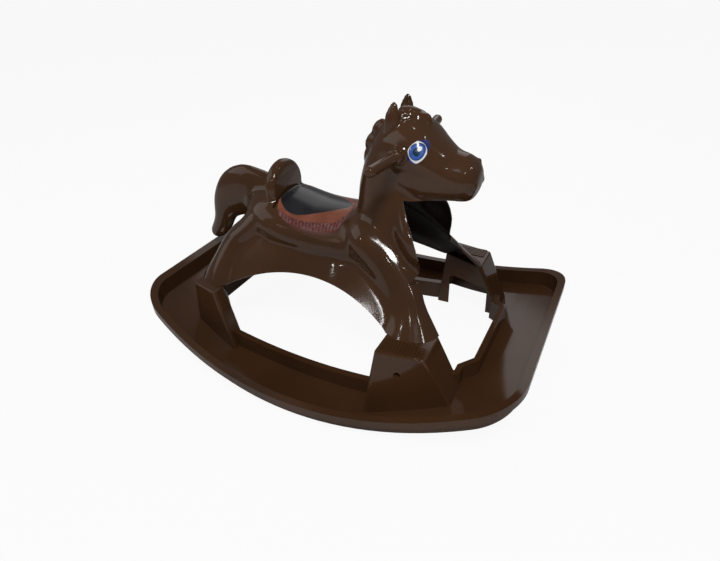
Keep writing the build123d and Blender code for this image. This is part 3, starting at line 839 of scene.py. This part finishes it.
def floor_material():
    """A pale floor that the camera sees nearly white, with the horse's shadow on it."""
    shade = Shade(bpy.data.materials.new("pale_floor"))
    diffuse = shade.node("ShaderNodeBsdfDiffuse", {}, {"Color": (0.80, 0.80, 0.80, 1.0)})
    white = shade.node("ShaderNodeEmission", {}, {"Color": (1.0, 1.0, 1.0, 1.0), "Strength": 1.0})
    share = FLOOR_WHITENESS * shade.node("ShaderNodeLightPath", {}, {}, "Is Camera Ray")
    mixed = shade.node("ShaderNodeMixShader", {}, {0: share, 1: diffuse, 2: white})
    shade.node("ShaderNodeOutputMaterial", {}, {"Surface": mixed})
    return shade.owner


def surroundings(strength):
    """A world that the camera sees white and that gives an even light."""
    shade = Shade(bpy.data.worlds.new("surroundings"))
    seen = shade.node("ShaderNodeLightPath", {}, {}, "Is Camera Ray")
    glow = strength + (1.0 - strength) * seen
    light = shade.node("ShaderNodeBackground", {}, {"Color": (1.0, 1.0, 1.0, 1.0), "Strength": glow})
    shade.node("ShaderNodeOutputWorld", {}, {"Surface": light})
    return shade.owner


class HORSE_OT_stage(Operator):
    """Lays the floor and sets up the lights, the white surroundings and the camera"""
    bl_idname = "rocking_horse.stage"
    bl_label = "Stage"

    def execute(self, context):
        settings = context.scene.stage_settings
        put_down()
        bpy.ops.mesh.primitive_plane_add(size=30.0, location=(0, 0, -0.0005))
        floor = context.object
        floor.name = "floor"
        dress(floor, floor_material())
        lamp("key", KEY_PLACE, settings.key_power, 0.4)
        for name, place in FILL_PLACES.items():
            lamp(name, place, settings.fill_power, 1.6)
        for index, place in enumerate(CEILING_LAMPS):
            lamp("ceiling_%d" % index, place, settings.lamp_power, 0.06)
        context.scene.world = surroundings(settings.sky)
        camera_data = bpy.data.cameras.new("camera")
        camera_data.lens = settings.lens
        camera_data.sensor_width = 36.0
        camera = bpy.data.objects.new("camera", camera_data)
        context.scene.collection.objects.link(camera)
        look = (Vector(CAMERA_TARGET) - Vector(CAMERA_PLACE)).to_track_quat("-Z", "Y")
        camera.rotation_mode = "QUATERNION"
        camera.rotation_quaternion = look @ Quaternion((0, 0, 1), radians(CAMERA_ROLL))
        camera.location = CAMERA_PLACE
        context.scene.camera = camera
        context.scene.view_settings.view_transform = "Standard"
        return {"FINISHED"}


class HORSE_PT_panel(Panel):
    """The horse's pieces in the order in which they are made"""
    bl_label = "Rocking Horse"
    bl_idname = "HORSE_PT_panel"
    bl_space_type = "VIEW_3D"
    bl_region_type = "UI"
    bl_category = "Rocking Horse"

    def draw(self, context):
        for name in ("horse_settings", "print_settings", "stage_settings"):
            settings = getattr(context.scene, name)
            box = self.layout.box()
            for prop in settings.bl_rna.properties:
                if prop.identifier not in ("rna_type", "name"):
                    box.prop(settings, prop.identifier)
        for operator in OPERATORS:
            self.layout.operator(operator.bl_idname)


OPERATORS = (
    HORSE_OT_stage,
    HORSE_OT_shell,
    HORSE_OT_eyes,
    HORSE_OT_saddle,
    HORSE_OT_tray,
    HORSE_OT_fasteners,
)
SETTINGS = {
    "horse_settings": HorseSettings,
    "print_settings": PrintSettings,
    "stage_settings": StageSettings,
}


def register():
    for made in (*SETTINGS.values(), *OPERATORS, HORSE_PT_panel):
        bpy.utils.register_class(made)
    for name, made in SETTINGS.items():
        setattr(bpy.types.Scene, name, PointerProperty(type=made))


def unregister():
    for name in SETTINGS:
        delattr(bpy.types.Scene, name)
    for made in reversed((*SETTINGS.values(), *OPERATORS, HORSE_PT_panel)):
        bpy.utils.unregister_class(made)


def main():
    register()
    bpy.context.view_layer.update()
    bpy.ops.rocking_horse.stage()
    bpy.ops.rocking_horse.shell()
    bpy.ops.rocking_horse.eyes()
    bpy.ops.rocking_horse.saddle()
    bpy.ops.rocking_horse.tray()
    bpy.ops.rocking_horse.fasteners()
    throw_away(bpy.data.objects["uncut_skin"])


if __name__ == "__main__":
    main()
